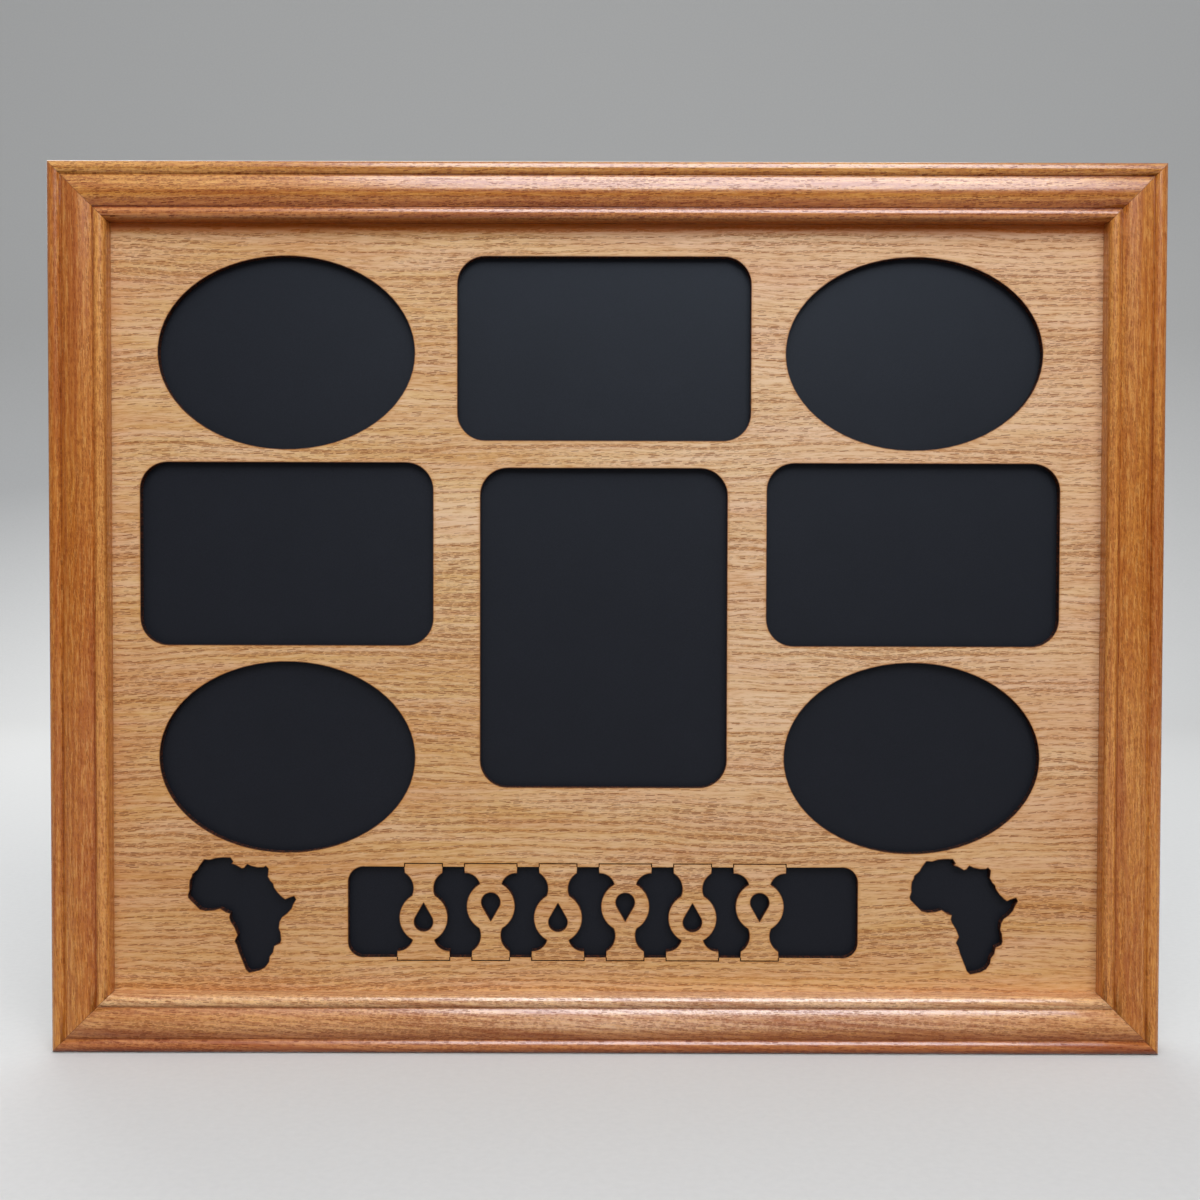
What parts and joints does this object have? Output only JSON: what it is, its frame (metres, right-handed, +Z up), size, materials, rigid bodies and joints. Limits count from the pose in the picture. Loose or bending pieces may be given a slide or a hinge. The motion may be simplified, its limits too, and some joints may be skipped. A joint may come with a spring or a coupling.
{
  "type": "collage photo frame",
  "caption": "Wall-hung landscape oak frame with a mitred beaded moulding, a pierced oak mat of oval and rounded windows over black card, and turn buttons behind.",
  "frame": {"origin": "top of the middle notch of the sawtooth hanger, where a wall nail carries the frame, in the plane of the rails' rear faces", "axes": "+X to the right as seen from the front, +Y to the wall, +Z up"},
  "size_m": [0.3828, 0.023, 0.3067],
  "materials": {
    "moulding_oak": "satin lacquer over golden oak stain",
    "mat_oak": "sanded oak veneer, laser-browned at the cut edges",
    "black_card": "matte",
    "corrugated_card": "matte",
    "hardboard": "smooth pressed fibre",
    "button_steel": "zinc plated",
    "screw_steel": "zinc plated",
    "hanger_steel": "brass-coloured plating",
    "nail_brass": "bright",
    "v_nail_steel": "plain",
    "bumper_rubber": "matte"
  },
  "bodies": {
    "frame": {"top_rail": "moulding_oak", "bottom_rail": "moulding_oak", "left_stile": "moulding_oak", "right_stile": "moulding_oak", "corner_v_nails": "v_nail_steel", "oak_mat": "mat_oak", "black_card": "black_card", "filler_board": "corrugated_card", "backing_board": "hardboard", "turn_button_screws": "screw_steel", "sawtooth_hanger": "hanger_steel", "hanger_nails": "nail_brass", "left_wall_bumper": "bumper_rubber", "right_wall_bumper": "bumper_rubber"},
    "upper_left_turn_button_body": {"upper_left_turn_button": "button_steel"},
    "upper_right_turn_button_body": {"upper_right_turn_button": "button_steel"},
    "lower_left_turn_button_body": {"lower_left_turn_button": "button_steel"},
    "lower_right_turn_button_body": {"lower_right_turn_button": "button_steel"},
    "left_turn_button_body": {"left_turn_button": "button_steel"},
    "right_turn_button_body": {"right_turn_button": "button_steel"}
  },
  "joints": [
    {"name": "upper_left_turn_button_turn", "type": "hinge", "parent": "frame", "child": "upper_left_turn_button_body", "pos_m": [-0.095, 0.00075, 0.0027], "axis": [0, 1, 0], "continuous": true},
    {"name": "upper_right_turn_button_turn", "type": "hinge", "parent": "frame", "child": "upper_right_turn_button_body", "pos_m": [0.095, 0.00075, 0.0027], "axis": [0, 1, 0], "continuous": true},
    {"name": "lower_left_turn_button_turn", "type": "hinge", "parent": "frame", "child": "lower_left_turn_button_body", "pos_m": [-0.095, 0.00075, -0.29035], "axis": [0, 1, 0], "continuous": true},
    {"name": "lower_right_turn_button_turn", "type": "hinge", "parent": "frame", "child": "lower_right_turn_button_body", "pos_m": [0.095, 0.00075, -0.29035], "axis": [0, 1, 0], "continuous": true},
    {"name": "left_turn_button_turn", "type": "hinge", "parent": "frame", "child": "left_turn_button_body", "pos_m": [-0.18463, 0.00075, -0.14383], "axis": [0, 1, 0], "continuous": true},
    {"name": "right_turn_button_turn", "type": "hinge", "parent": "frame", "child": "right_turn_button_body", "pos_m": [0.18463, 0.00075, -0.14383], "axis": [0, 1, 0], "continuous": true}
  ]
}
